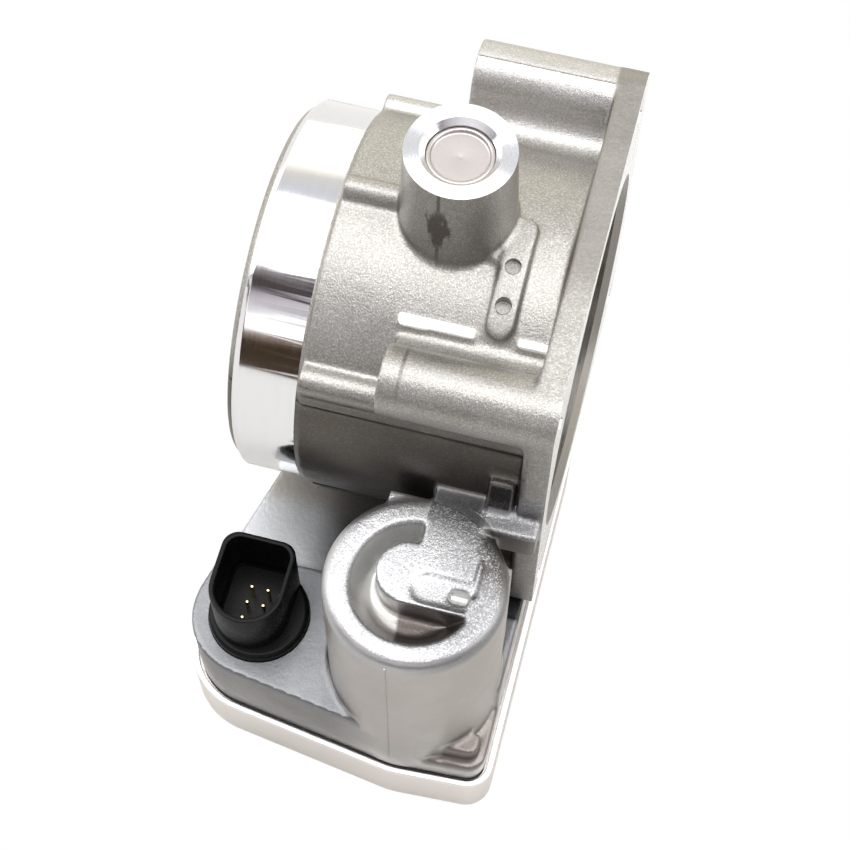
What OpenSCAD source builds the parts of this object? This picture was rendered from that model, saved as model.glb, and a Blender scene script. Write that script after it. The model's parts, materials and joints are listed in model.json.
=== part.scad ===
// Electronic throttle body. The origin is the centre of the bore on the manifold flange's face:
// +X points out of that face, +Z runs up the throttle shaft, away from the gear case.

/* [Bore and casting] */
// Diameter of the throttle bore
bore_d = 80; // [78:0.5:81]
// Outer diameter of the inlet spigot
spigot_d = 88; // [87:0.5:90]
// Distance from the flange face to the end of the inlet spigot
body_len = 74.7; // [74:0.1:78]
// Distance from the flange face to the cast shoulder behind the spigot
cast_len = 57.4; // [56:0.1:59]
// Outer diameter of the cast barrel
cast_d = 91.6; // [91:0.1:93]
// Distance from the flange face to the throttle shaft
shaft_x = 32; // [31.5:0.5:33]

/* [Manifold flange] */
// Width and height of the square flange
flange_size = 95.6; // [95:0.1:98]
// Thickness of the flange
flange_t = 6; // [5:0.5:7]
// Spacing of the flange bolts, both ways
bolt_pitch = 80; // [80:0.5:81]
// Diameter of the flange bolt holes
bolt_hole_d = 6.6; // [6.2:0.1:7]
// Length of the bolt bosses, from the flange face
boss_len = 38; // [36:0.5:40]

/* [Shaft boss] */
// Outer diameter of the shaft boss at its machined top
shaft_boss_d = 23.7; // [23:0.1:25]
// Height of the shaft boss above the bore's centre
shaft_boss_z = 68.2; // [67:0.1:70]
// Diameter of the throttle shaft
shaft_d = 10; // [9.8:0.1:10]

/* [Motor] */
// Position of the motor along X
motor_x = -23.7; // [-24:0.1:-23.5]
// Position of the motor along Y
motor_y = -68; // [-68.5:0.1:-67.8]
// Outer diameter of the cast can around the motor
can_d = 41; // [41:0.1:42]
// Height of the can's top above the bore's centre
can_top = 5; // [4.5:0.5:6]
// Outer diameter of the motor
motor_d = 35.2; // [34.8:0.1:35.3]

/* [Gear case] */
// Height of the deck around the connector
deck_z = -44; // [-44.5:0.1:-43.5]
// Height of the lower floor behind the deck
floor_z = -48; // [-48.2:0.1:-47.8]
// Height of the joint between housing and cover
joint_z = -66; // [-66.5:0.5:-66]
// Height of the cover's bottom face
cover_z = -85.2; // [-86:0.1:-85.2]
// Width of the cover's lip around the housing
lip = 2; // [1.8:0.1:2.2]

/* [Gears] */
// Module of the motor pinion and the idler wheel
mod_fast = 0.8; // [0.8]
// Module of the idler pinion and the sector gear
mod_slow = 1; // [1]
// Teeth on the motor pinion
pinion_teeth = 16; // [16]
// Teeth on the idler wheel
wheel_teeth = 70; // [70]
// Teeth on the idler pinion
idler_teeth = 20; // [20]
// Teeth that a full sector gear would have
sector_teeth = 53; // [53]

/* [Throttle] */
// Thickness of the throttle plate
plate_t = 2.4; // [2:0.1:2.6]
// Angle that the plate is open when the motor has no current
rest_open = 6; // [6]

/* [Hidden] */
$fn = 96;
eps = 0.01;

// Colours
cast_col = [0.74, 0.72, 0.69];
bright_col = [0.86, 0.87, 0.88];
steel_col = [0.62, 0.63, 0.65];
black_col = [0.05, 0.05, 0.06];
brass_col = [0.80, 0.66, 0.36];
copper_col = [0.78, 0.45, 0.28];
nylon_col = [0.16, 0.15, 0.14];
rubber_col = [0.10, 0.10, 0.10];
board_col = [0.10, 0.35, 0.20];
ferrite_col = [0.22, 0.22, 0.24];

// Main radii and positions
bore_r = bore_d / 2;
cast_r = cast_d / 2;
spigot_r = spigot_d / 2;
shaft_r = shaft_d / 2;
half = flange_size / 2;
bolt = bolt_pitch / 2;
boss_r = half - bolt;
rear_boss = bolt + 1.4;
can_r = can_d / 2;
motor_r = motor_d / 2;
shaft_at = [-shaft_x, 0];
motor_at = [motor_x, motor_y];
can_fillet = 3;
recess_r = 14.6;
roof_z = -8;
ceiling_z = floor_z - 3;
ledge_high = -52;
ledge_low = -58;
foot_z = joint_z - 1.5;
foot_gap = 0.25;
foot_t = 2.5;
cover_in_z = cover_z + 2.2;

// Gear case outline: circles, in turn, that a taut band around them would follow: [x, y, radius]
case_ring = [
    [-6.7, -82.7, 4.5],
    [-shaft_x, 2, 29.8],
    [-63.5, -66.6, 16],
    [motor_x, motor_y, 20.2]
];

// Heights of the parts on the throttle shaft
bearing_z = -64;
bearing_h = 6;
bearing_r = 11;
seal_h = 3.5;
seal_r = 8;
hub_r = 7;
sector_top = -68.3;
sector_t = 6;
sector_z = sector_top - sector_t;
hub_z = -79.4;
shaft_low = -75.2;
upper_r = 7.3;
upper_z = 50;
upper_h = 11.5;
plug_z = 62.6;

// Heights of the idler, pinion and motor
wheel_top = -75.3;
wheel_t = 4.4;
wheel_z = wheel_top - wheel_t;
motor_top = -8.9;
motor_low = -62;
hub_top = -4.6;
motor_shaft_r = 2;

// Gear geometry
pressure = 22.5;
backlash = 0.12;
fast_pitch = mod_fast * (pinion_teeth + wheel_teeth) / 2;
slow_pitch = mod_slow * (idler_teeth + sector_teeth) / 2;
span = motor_at - shaft_at;
reach = norm(span);
along = span / reach;
across = [along[1], -along[0]];
foot_dist = (slow_pitch * slow_pitch - fast_pitch * fast_pitch + reach * reach) / (2 * reach);
side_dist = sqrt(slow_pitch * slow_pitch - foot_dist * foot_dist);
idler_at = shaft_at + along * foot_dist + across * side_dist;
to_idler = atan2(idler_at[1] - shaft_at[1], idler_at[0] - shaft_at[0]);
to_motor = atan2(motor_at[1] - idler_at[1], motor_at[0] - idler_at[0]);
sector_first = -13;
sector_last = 2;
closed_angle = rest_open;
open_angle = 80;

// Connector
conn_at = [-63, -66.7];
collar_r = 12.2;
collar_top = -41.3;
shroud_at = [-64.2, -67.9];
shroud_r = 9;
shroud_top = -24.4;
shroud_wall = 1.3;
shroud_back = 13.2;
socket_floor = -40;
pin_tip = -33.5;
pin_pitch = 4;
pin_mid = [-62.9, -68];
terminal_y = [pin_mid[1] - pin_pitch, pin_mid[1]];

// Throttle plate
plate_r = bore_r - 0.13;
screw_z = 13;

// ---------------------------------------------------------------- helpers

// Extrudes a drawing in the Y-Z plane along +X, from x0 to x1
module along_x(x0, x1) {
    translate([x0, 0, 0]) rotate([90, 0, 90]) linear_extrude(x1 - x0) children();
}

// Cylinder along +X from x0 to x1
module bar_x(x0, x1, r, y = 0, z = 0) {
    translate([x0, y, z]) rotate([0, 90, 0]) cylinder(h = x1 - x0, r = r);
}

// Cylinder along +Z, from z0 to z1, at a point in plan
module post(at, z0, z1, r) {
    translate([at[0], at[1], z0]) cylinder(h = z1 - z0, r = r);
}

// Ring along +Z, from z0 to z1
module ring(at, z0, z1, r_out, r_in) {
    difference() {
        post(at, z0, z1, r_out);
        post(at, z0 - 1, z1 + 1, r_in);
    }
}

// Box given by its lowest and highest corners
module block(low, high) {
    translate(low) cube(high - low);
}

// Angle at which the straight line leaves circle a on its way to circle b, keeping both on its left
function leave_angle(a, b) =
    atan2(b[1] - a[1], b[0] - a[0]) - acos((a[2] - b[2]) / norm([b[0] - a[0], b[1] - a[1]]));

function turn(a, b) = b < a ? b + 360 : b;

// Points of the taut band around a counter-clockwise list of circles, each grown by g
function band(c, g = 0, step = 7.5) = [
    for (i = [0:len(c) - 1])
        let (
            n = len(c),
            before = c[(i + n - 1) % n],
            here = c[i],
            after = c[(i + 1) % n],
            a0 = leave_angle(before, here),
            a1 = turn(a0, leave_angle(here, after)),
            k = max(1, ceil((a1 - a0) / step)),
            r = here[2] + g
        )
        for (j = [0:k]) [here[0] + r * cos(a0 + (a1 - a0) * j / k), here[1] + r * sin(a0 + (a1 - a0) * j / k)]
];

// Solid with the gear case's outline grown by g, from z0 to z1
module case_solid(g, z0, z1) {
    translate([0, 0, z0]) linear_extrude(z1 - z0) polygon(band(case_ring, g));
}

// Half the angle that a tooth fills at radius r
function tooth_half(m, z, r) =
    let (
        rp = m * z / 2,
        base = rp * cos(pressure),
        inv = tan(pressure) * 180 / PI - pressure,
        t = acos(base / r)
    )
    90 / z - (backlash / 4) / rp * 180 / PI + inv - (tan(t) * 180 / PI - t);

// Points of an involute tooth row, from the first to the last tooth
function tooth_row(m, z, first, last) =
    let (
        rp = m * z / 2,
        base = rp * cos(pressure),
        tip = rp + m,
        root = rp - 1.25 * m,
        low = max(base, root) + eps,
        steps = 5
    )
    [
        for (i = [first:last]) let (mid = i * 360 / z) each concat(
            [root * [cos(mid - tooth_half(m, z, low)), sin(mid - tooth_half(m, z, low))]],
            [for (k = [0:steps]) let (r = low + (tip - low) * k / steps, h = tooth_half(m, z, r))
                r * [cos(mid - h), sin(mid - h)]],
            [for (k = [steps:-1:0]) let (r = low + (tip - low) * k / steps, h = tooth_half(m, z, r))
                r * [cos(mid + h), sin(mid + h)]],
            [root * [cos(mid + tooth_half(m, z, low)), sin(mid + tooth_half(m, z, low))]]
        )
    ];

// Spur gear with one tooth on the local +X axis, turned by phase
module spur(at, z0, h, m, z, phase) {
    translate([at[0], at[1], z0]) rotate(phase) linear_extrude(h) polygon(tooth_row(m, z, 0, z - 1));
}

// ---------------------------------------------------------------- housing

// Section of a bolt boss at a point in the Y-Z plane, with its two fillets down to the barrel
module boss_section(at, fillet, bite = 0.1) {
    far = norm(at);
    near = cast_r + fillet - bite;
    r = boss_r - 0.15;
    off = acos((near * near + far * far - pow(r + fillet - bite, 2)) / (2 * near * far));
    rotate(atan2(at[1], at[0])) {
        translate([far, 0]) circle(r);
        difference() {
            polygon([[0, 0], near * [cos(off), -sin(off)], [far, 0], near * [cos(off), sin(off)]]);
            for (s = [-1, 1]) translate(near * [cos(off), s * sin(off)]) circle(fillet);
        }
    }
}

// Barrel, spigot, flange and bolt bosses before the bore is cut
module barrel() {
    bar_x(-cast_len, 0, cast_r);
    bar_x(3 - body_len, 0, spigot_r);
    translate([-body_len, 0, 0]) rotate([0, 90, 0]) cylinder(h = 3, r1 = spigot_r - 3, r2 = spigot_r);
    along_x(-flange_t, 0) flange_section();
    along_x(-boss_len, -1) for (z = [-bolt, bolt]) {
        boss_section([-bolt, z], 5);
        boss_section([rear_boss, z], 6);
    }
    for (a = [45, 90, 225, 315]) rotate([a, 0, 0]) bar_x(0.15 - cast_len, -boss_len + 1, 3, cast_r, 0);
    rotate([145, 0, 0]) bar_x(0.15 - cast_len, -boss_len + 1, 3.8, cast_r, 0);
}

// Square flange whose round corners follow the bolt bosses
module flange_section() {
    translate([-half, -bolt]) square([half + rear_boss + boss_r, 2 * bolt]);
    translate([-bolt, -half]) square([bolt + rear_boss, 2 * half]);
    for (y = [-bolt, rear_boss], z = [-bolt, bolt]) translate([y, z]) circle(boss_r);
}

// Shallow pocket low on the barrel's front, between the upper step line and the lower rib
module barrel_pocket(depth = 1.1, high = 26.5, low = -32) {
    out = 60;
    along_x(-cast_len - 1, -flange_t - 0.4) intersection() {
        difference() {
            circle(out);
            circle(cast_r - depth);
        }
        polygon([[0, 0], out * [-cos(high), sin(high)], [-out * 1.2, 0], out * [-cos(low), sin(low)]]);
    }
}

// Rest pad with two round marks beside the shaft boss, on the barrel's top
module top_pad(x = -17.3, w = 6, y0 = -22, y1 = -1.5, rise = 2) {
    intersection() {
        bar_x(-30, -5, cast_r + rise);
        union() {
            block([x - w / 2, y0, 30], [x + w / 2, y1, 60]);
            post([x, y0], 30, 60, w / 2);
            post([x, y1], 30, 60, w / 2);
        }
    }
    intersection() {
        bar_x(-30, -5, cast_r + rise - 0.6);
        translate([0, 0, 30]) linear_extrude(30)
            polygon([[-32, -2], [-23, -9.5], [x, -12], [x, 1], [-22, 2]]);
    }
}

// Row of small flat-topped pads along the barrel, above the upper front boss
module side_pads(top = 39.2) {
    block([-38.4, -26.3, 30], [-32.7, -15, top]);
    block([-32.8, -25.9, 30], [-22.2, -15, top]);
    block([-12.6, -25.4, 30], [-3, -15, top + 0.1]);
}

// Post around the upper end of the throttle shaft, slightly tapered
module shaft_boss() {
    translate([-shaft_x, 0, 30]) cylinder(h = shaft_boss_z - 30, r1 = 13.6, r2 = shaft_boss_d / 2);
}

// Saddle that carries the barrel on the gear case
module saddle() {
    block([-cast_len + 3, -25, floor_z - 2], [-1, 25, -30]);
}

// Cast can around the motor, with its round top edge
module can() {
    translate([motor_x, motor_y, 0]) rotate_extrude() union() {
        translate([0, joint_z + 0.4]) square([can_r, can_top - can_fillet - joint_z - 0.4]);
        translate([0, can_top - can_fillet - 1]) square([can_r - can_fillet, can_fillet + 1]);
        translate([can_r - can_fillet, can_top - can_fillet]) circle(can_fillet);
    }
}

// Webs that tie the can to the barrel and to the flange
module can_webs() {
    block([-34.6, -62, floor_z], [-24.6, -48, can_top - 1]);
    block([-24.7, -60, floor_z], [-12.4, -38, can_top]);
    block([-12.6, -52.8, -3.5], [-0.5, -42, can_top + 0.6]);
    along_x(-13, -7.3)
        polygon([[-40, 13.2], [-45.2, 13.2], [-46.4, 8.4], [-49.2, 5], [-49.2, -3], [-40, -3]]);
    block([-9, -66, floor_z], [-4, -58.5, can_top - 3.5]);
}

// Conical recess in the can's top that leaves a rounded island
module can_recess(low = -3) {
    difference() {
        translate([motor_x, motor_y - 0.4, low]) cylinder(h = can_top - low + eps, r1 = 10.2, r2 = recess_r);
        post([-25.4, -66.3], low - 1, can_top + 1, 7.3);
        block([-25.4, -73.6, low - 1], [-4, -59, can_top + 1]);
        block([-24.7, -62, low - 1], [-9, -40, can_top + 1]);
    }
    block([-20.8, -72.8, can_top - 0.7], [-11, -65.4, can_top + 1]);
    post([-20.8, -69.1], can_top - 0.7, can_top + 1, 3.7);
    for (x = [-14.4, -12.6]) post([x, -69.1], can_top - 3, can_top + 1, 1.5);
    block([-11.4, -68.8, can_top - 1.1], [-9.9, -59.6, can_top + 1]);
}

// Room above the low ledge in the case's corner beside the can
module corner_room() {
    difference() {
        block([-18, -95, ledge_low], [3, -70.5, -30]);
        post(motor_at, -90, 0, can_r);
    }
}

// Floor that closes the gear case below that ledge, with a higher ledge that follows the corner's curve
module corner_ledges() {
    intersection() {
        case_solid(-0.5, ledge_low - 3, ledge_low);
        block([-18, -95, -70], [3, -69, -30]);
    }
    intersection() {
        case_solid(-2, ledge_low - 3, ledge_high);
        block([-17, -95, -70], [3, -79.8, -30]);
    }
}

// Outside of the gear case down to its foot
module case_outside() {
    difference() {
        case_solid(0, joint_z + 0.4, deck_z);
        block([-100, -51.8, floor_z], [20, 60, 0]);
        corner_room();
    }
    case_solid(-foot_gap, foot_z, joint_z + 0.5);
}

// Room for the gears inside the case
module case_inside() {
    case_solid(-foot_gap - foot_t, foot_z - 1, ceiling_z);
}

// Bosses that hang from the case's ceiling
module inner_bosses() {
    post(shaft_at, bearing_z - 1.6, -40, bearing_r + 3);
    post(idler_at, -66.6, ceiling_z + 1, 5.6);
    ring(motor_at, ledge_low - 2, ceiling_z + 1, can_r, motor_r + 0.2);
    for (p = bracket_at) post(p, motor_low, ceiling_z + 1, 3.8);
    for (a = stop_at) post(stop_point(a), joint_z + 0.5, ceiling_z + 1, 4);
    ring(conn_at, -56, deck_z - 2, collar_r + 0.6, 10.9);
}

// Everything that is cut out of the casting for other parts
module housing_cuts() {
    bar_x(-body_len - 1, 1, bore_r);
    translate([-1.8, 0, 0]) rotate([0, 90, 0]) cylinder(h = 1.8 + eps, r1 = bore_r, r2 = bore_r + 1.8);
    for (y = [-bolt, bolt], z = [-bolt, bolt]) bar_x(-boss_len - 1, 1, bolt_hole_d / 2, y, z);
    post(shaft_at, -70, 70, shaft_r + 0.05);
    post(shaft_at, upper_z - 4, shaft_boss_z + 1, upper_r);
    translate([-shaft_x, 0, shaft_boss_z - 1.2]) cylinder(h = 1.2 + eps, r1 = upper_r, r2 = upper_r + 1.2);
    post(shaft_at, -70, bearing_z + bearing_h, bearing_r);
    post(shaft_at, -70, bearing_z + bearing_h + seal_h, seal_r);
    post(motor_at, -70, roof_z, motor_r + 0.2);
    post(motor_at, roof_z - 1, hub_top + 0.4, 6.3);
    post(idler_at, -70, ceiling_z - 1, 3);
    for (p = bracket_at) post(p, -70, motor_low + 8, 2);
    for (a = stop_at) post(stop_point(a), -90, ceiling_z - 0.5, stop_pin_r);
    post(conn_at, -70, deck_z + 1, 10.9);
    post(conn_at, deck_z - 2.2, deck_z + 1, collar_r + 0.15);
    for (y = pad_marks) post([-17.5, y], cast_mark_z(y), 60, 1.75);
}

bracket_at = [for (a = [98, 203]) motor_at + 22.3 * [cos(a), sin(a)]];
pad_marks = [-10.7, -19];
function cast_mark_z(y) = sqrt(pow(cast_r + 2, 2) - pow(y + 1.75, 2)) - 0.55;

// Stops: where the sector gear's two edges come to rest
stop_r = 22;
stop_pin_r = 2.5;
stop_clear = asin((stop_pin_r + 0.3) / stop_r);
stop_at = [
    sector_edge(sector_first) - closed_angle - stop_clear,
    sector_edge(sector_last) + open_angle + stop_clear
];
function sector_edge(tooth) = to_idler + (tooth + (tooth < 0 ? -0.8 : 0.8)) * 360 / sector_teeth;
function stop_point(a) = shaft_at + stop_r * [cos(a), sin(a)];

module throttle_housing() {
    color(cast_col) difference() {
        union() {
            difference() {
                union() {
                    difference() {
                        barrel();
                        barrel_pocket();
                    }
                    top_pad();
                    side_pads();
                    shaft_boss();
                    saddle();
                    can();
                    can_webs();
                    case_outside();
                }
                can_recess();
                case_inside();
            }
            inner_bosses();
            corner_ledges();
        }
        housing_cuts();
    }
}

// ---------------------------------------------------------------- shaft and bearings

// Cup pressed into the shaft boss, open upwards, with a punch mark
module end_plug() {
    top = shaft_boss_z - 1.5;
    color(bright_col) difference() {
        post(shaft_at, plug_z, top, upper_r);
        post(shaft_at, top - 0.7, top + 1, upper_r - 1);
        post(shaft_at, plug_z - 1, plug_z + 2, upper_r - 1);
        translate([-shaft_x, 0, top - 1]) cylinder(h = 0.4, r1 = 0.1, r2 = 0.6);
    }
}

// Drawn needle bearing at the shaft's upper end
module upper_bearing() {
    color(steel_col) ring(shaft_at, upper_z, upper_z + upper_h, upper_r, shaft_r + 0.03);
}

// Outer ring of the ball bearing
module lower_bearing_outer() {
    color(steel_col) difference() {
        ring(shaft_at, bearing_z, bearing_z + bearing_h, bearing_r, bearing_r - 2);
        ball_groove();
    }
}

// Inner ring of the ball bearing, tight on the shaft
module lower_bearing_inner() {
    color(steel_col) difference() {
        ring(shaft_at, bearing_z, bearing_z + bearing_h, shaft_r + 2, shaft_r);
        ball_groove();
    }
}

ball_r = 1.6;
ball_ring = (bearing_r + shaft_r) / 2;

module ball_groove() {
    translate([-shaft_x, 0, bearing_z + bearing_h / 2])
        rotate_extrude() translate([ball_ring, 0]) circle(ball_r + 0.04);
}

// Balls of the lower bearing
module lower_bearing_balls(count = 12) {
    color(bright_col) for (i = [0:count - 1])
        translate([-shaft_x, 0, bearing_z + bearing_h / 2])
            rotate(i * 360 / count) translate([ball_ring, 0, 0]) sphere(ball_r, $fn = 48);
}

// Lip seals above the lower bearing and below the upper one
module shaft_seals() {
    color(rubber_col) {
        ring(shaft_at, bearing_z + bearing_h + 0.1, bearing_z + bearing_h + seal_h, seal_r, shaft_r + 0.03);
        ring(shaft_at, upper_z - 4, upper_z - 0.4, upper_r, shaft_r + 0.03);
    }
}

// Space that one plate screw fills, along the plate's normal
module plate_screw(grow = 0) {
    translate([-shaft_r - 0.3, 0, 0]) rotate([0, 90, 0]) cylinder(h = 2.2, r = 3.2 + grow);
    translate([-shaft_r + 1, 0, 0]) rotate([0, 90, 0]) cylinder(h = 2 * shaft_r - 2.2, r = 2 + grow);
}

// Turns parts that are drawn with the throttle closed to the rest position
module at_rest() {
    translate([-shaft_x, 0, 0]) rotate(rest_open) children();
}

// Throttle shaft, slotted for the plate
module throttle_shaft() {
    color(steel_col) at_rest() difference() {
        translate([0, 0, shaft_low]) cylinder(h = 60.5 - shaft_low, r = shaft_r);
        block([-plate_t / 2, -shaft_r - 1, -plate_r], [plate_t / 2, shaft_r + 1, plate_r]);
        for (z = [-screw_z, screw_z]) translate([0, 0, z]) {
            plate_screw();
            block([-shaft_r - 1, -5, -5], [-shaft_r + 0.5, 5, 5]);
        }
    }
}

// Round throttle plate
module throttle_plate() {
    color(brass_col) at_rest() difference() {
        translate([-plate_t / 2, 0, 0]) rotate([0, 90, 0]) cylinder(h = plate_t, r = plate_r);
        for (z = [-screw_z, screw_z]) translate([0, 0, z]) plate_screw();
    }
}

// Screws that hold the plate in the shaft, with a hexagon socket each
module plate_screws() {
    color(steel_col) at_rest() for (z = [-screw_z, screw_z]) translate([0, 0, z]) difference() {
        plate_screw();
        translate([-shaft_r - 1, 0, 0]) rotate([0, 90, 0]) cylinder(h = 2, r = 1.4, $fn = 6);
    }
}

// ---------------------------------------------------------------- gears

// Sector gear: a toothed arc of a disc, a round hub and a cup for the magnets
module sector_gear() {
    fan = sector_teeth * mod_slow / 2 - 1.25 * mod_slow + 0.05;
    edge0 = sector_edge(sector_first);
    edge1 = sector_edge(sector_last);
    color(nylon_col) difference() {
        union() {
            translate([-shaft_x, 0, sector_z]) linear_extrude(sector_t) {
                rotate(to_idler) polygon(concat([[0, 0]],
                    tooth_row(mod_slow, sector_teeth, sector_first, sector_last)));
                polygon(concat([[0, 0]],
                    [for (k = [0:20]) let (a = edge0 + (edge1 - edge0) * k / 20) fan * [cos(a), sin(a)]]));
                circle(16.5);
            }
            post(shaft_at, hub_z, sector_top + 0.5, hub_r);
        }
        post(shaft_at, hub_z - 1, shaft_low, 6);
        post(shaft_at, hub_z - 1, sector_top + 1, shaft_r);
        ring(shaft_at, sector_z - 1, sector_z + 1.6, 15, 9);
        post(shaft_at, sector_top - 1.2, sector_top + 1, 12);
    }
}

// Steel disc moulded in the sector gear and staked on the shaft, with the spring's hook
module sector_insert() {
    color(steel_col) {
        ring(shaft_at, sector_top - 1.2, sector_top + 0.6, 12, shaft_r);
        translate([-shaft_x, 0, 0]) rotate(150) block([11, -1.5, sector_top], [18.2, 1.5, sector_top + 1.2]);
    }
}

// Two arc magnets inside the sector gear's hub
module sensor_magnets() {
    color(ferrite_col) difference() {
        ring(shaft_at, hub_z + 0.2, shaft_low - 0.3, 6, 4.2);
        block([-shaft_x - 10, -0.8, hub_z - 1], [-shaft_x + 10, 0.8, shaft_low + 1]);
    }
}

// Idler gear: the large wheel below meshes with the motor, the small pinion above with the sector
module idler_gear() {
    color(nylon_col) difference() {
        union() {
            spur(idler_at, wheel_z, wheel_t, mod_fast, wheel_teeth, to_motor);
            spur(idler_at, wheel_top - eps, sector_top - wheel_top - 0.2, mod_slow, idler_teeth,
                to_idler + 180 + 180 / idler_teeth);
            post(idler_at, wheel_z - 0.6, -66.9, 5);
        }
        post(idler_at, wheel_z - 1, -60, 3.04);
        for (z = [wheel_z - 1, wheel_top - 1.2]) difference() {
            ring(idler_at, z, z + 2.2, 24.6, 14);
            for (a = [0:60:300]) translate([idler_at[0], idler_at[1], 0]) rotate(a)
                block([10, -1, z - 1], [26, 1, z + 3]);
        }
    }
}

// Steel pin that the idler gear turns on
module idler_pin() {
    color(steel_col) post(idler_at, cover_in_z - 0.8, ceiling_z - 1, 3);
}

// Brass pinion on the motor's shaft
module motor_pinion() {
    color(brass_col) difference() {
        spur(motor_at, wheel_z - 0.5, wheel_t + 1.2, mod_fast, pinion_teeth,
            to_motor + 180 + 180 / pinion_teeth);
        post(motor_at, -90, -60, motor_shaft_r);
    }
}

// Points around one cross-section of the spring's wire
function wire_ring(mean, a, z, r, n) = [
    for (k = [0:n - 1]) let (t = k * 360 / n, q = mean + r * cos(t)) [q * cos(a), q * sin(a), z + r * sin(t)]
];

// Torsion spring between the lower bearing's boss and the sector gear's hook
module return_spring(mean = 16, wire = 0.85, turns = 4.6, sides = 8, per_turn = 24) {
    top = ceiling_z - 1.2;
    drop = top - sector_top - 2.2;
    n = floor(turns * per_turn);
    pts = [for (i = [0:n]) each wire_ring(mean, 150 - i * 360 / per_turn, top - drop * i / n, wire, sides)];
    faces = [for (i = [0:n - 1], k = [0:sides - 1]) let (a = i * sides + k, b = i * sides + (k + 1) % sides)
        [a, a + sides, b + sides, b]];
    color(steel_col) translate([-shaft_x, 0, 0]) polyhedron(points = pts, faces = concat(
        [[for (k = [0:sides - 1]) k]], faces, [[for (k = [sides - 1:-1:0]) n * sides + k]]));
}

// ---------------------------------------------------------------- motor

// Drawn steel case of the motor, open downwards
module motor_can() {
    color(steel_col) difference() {
        union() {
            post(motor_at, motor_low + 3, motor_top, motor_r);
            post(motor_at, motor_top - 2, hub_top, 6);
        }
        post(motor_at, motor_low, motor_top - 1.4, motor_r - 1.4);
        post(motor_at, motor_top - 2, hub_top - 1, 4.6);
    }
}

// Plastic cap that closes the motor and carries the brushes
module motor_end_cap() {
    color(black_col) difference() {
        union() {
            post(motor_at, motor_low, motor_low + 3, motor_r);
            ring(motor_at, motor_low + 2, motor_low + 6, motor_r - 1.5, motor_r - 3.2);
        }
        post(motor_at, motor_low - 1, motor_low + 4, 4.6);
        for (y = terminal_y) block([motor_x - 15.4, y - 1.1, motor_low - 1],
            [motor_x - 13.6, y + 1.1, motor_low + 4]);
    }
}

// Two curved magnets inside the motor's case
module motor_magnets() {
    color(ferrite_col) difference() {
        ring(motor_at, -52, -16, motor_r - 1.45, 13.6);
        block([motor_x - 20, motor_y - 4, -60], [motor_x + 20, motor_y + 4, 0]);
    }
}

// Slotted iron stack of the armature with its windings
module motor_armature(slots = 5) {
    color(copper_col) difference() {
        ring(motor_at, -50, -18, 13, motor_shaft_r);
        for (i = [0:slots - 1]) translate([motor_x, motor_y, 0]) rotate(i * 360 / slots)
            block([7.5, -1.2, -51], [14, 1.2, -17]);
    }
}

// Commutator below the armature
module commutator() {
    color(brass_col) difference() {
        ring(motor_at, -57, -50.2, 4.6, motor_shaft_r);
        for (i = [0:4]) translate([motor_x, motor_y, 0]) rotate(36 + i * 72)
            block([3.6, -0.25, -58], [5, 0.25, -50]);
    }
}

// Two carbon brushes on the commutator
module motor_brushes() {
    color(ferrite_col) for (s = [-1, 1]) difference() {
        translate([motor_x + s * 6.5 - 2.5, motor_y - 2, -56]) cube([5, 4, 3.6]);
        post(motor_at, -60, -50, 4.65);
    }
}

// Shaft of the motor
module motor_shaft() {
    color(steel_col) post(motor_at, wheel_z - 1.1, hub_top - 1.2, motor_shaft_r);
}

// Sintered bushes at both ends of the motor
module motor_bushes() {
    color(brass_col) {
        ring(motor_at, motor_top - 1, hub_top - 1.6, 4.6, motor_shaft_r + 0.03);
        ring(motor_at, motor_low, motor_low + 3, 4.6, motor_shaft_r + 0.03);
    }
}

// Springy washer between the motor and the roof of its pocket
module wave_washer() {
    color(bright_col) ring(motor_at, motor_top + 0.05, roof_z - 0.05, 16, 12.5);
}

// Plate that clamps the motor in its pocket
module motor_bracket() {
    color(steel_col) difference() {
        union() {
            post(motor_at, motor_low - 1.6, motor_low - 0.02, motor_r - 0.4);
            for (p = bracket_at) {
                arm = p - motor_at;
                post(p, motor_low - 1.6, motor_low - 0.02, 4);
                translate([motor_x, motor_y, motor_low - 1.6]) rotate(atan2(arm[1], arm[0]))
                    block([10, -4, 0], [norm(arm), 4, 1.58]);
            }
        }
        post(motor_at, -70, -60, 11);
        for (p = bracket_at) post(p, -70, -60, 2);
        block([motor_x - 16.4, terminal_y[0] - 1.8, -70], [motor_x - 12.6, terminal_y[1] + 1.8, -60]);
    }
}

// Screws of the motor bracket
module bracket_screws() {
    color(bright_col) for (p = bracket_at) difference() {
        union() {
            post(p, motor_low - 1.7, motor_low + 7.5, 2);
            post(p, motor_low - 4, motor_low - 1.62, 3.4);
        }
        translate([p[0], p[1], motor_low - 5]) cylinder(h = 2.4, r = 1.5, $fn = 6);
    }
}

// ---------------------------------------------------------------- cover

// Shallow pan that closes the gear case, with a rounded lower edge and a socket for the idler pin
module gear_cover(round = 4, steps = 6) {
    ledge_z = foot_z - 0.8;
    color(cast_col) difference() {
        union() {
            difference() {
                union() {
                    case_solid(lip, cover_z + round, joint_z);
                    for (i = [0:steps - 1]) {
                        h = round / steps;
                        inset = round - sqrt(round * round - pow(round - (i + 0.5) * h, 2));
                        case_solid(lip - inset, cover_z + i * h, cover_z + (i + 1) * h + eps);
                    }
                }
                case_solid(0, ledge_z, joint_z + 1);
                case_solid(-1.2, cover_in_z, joint_z + 1);
            }
            post(idler_at, cover_in_z - 0.5, wheel_z - 0.9, 5);
        }
        post(idler_at, cover_in_z - 0.8, joint_z, 3);
    }
}

// Gasket under the housing's foot
module cover_gasket() {
    color(rubber_col) difference() {
        case_solid(-0.1, foot_z - 0.8, foot_z - 0.02);
        case_solid(-1.1, foot_z - 2, joint_z);
    }
}

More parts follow.
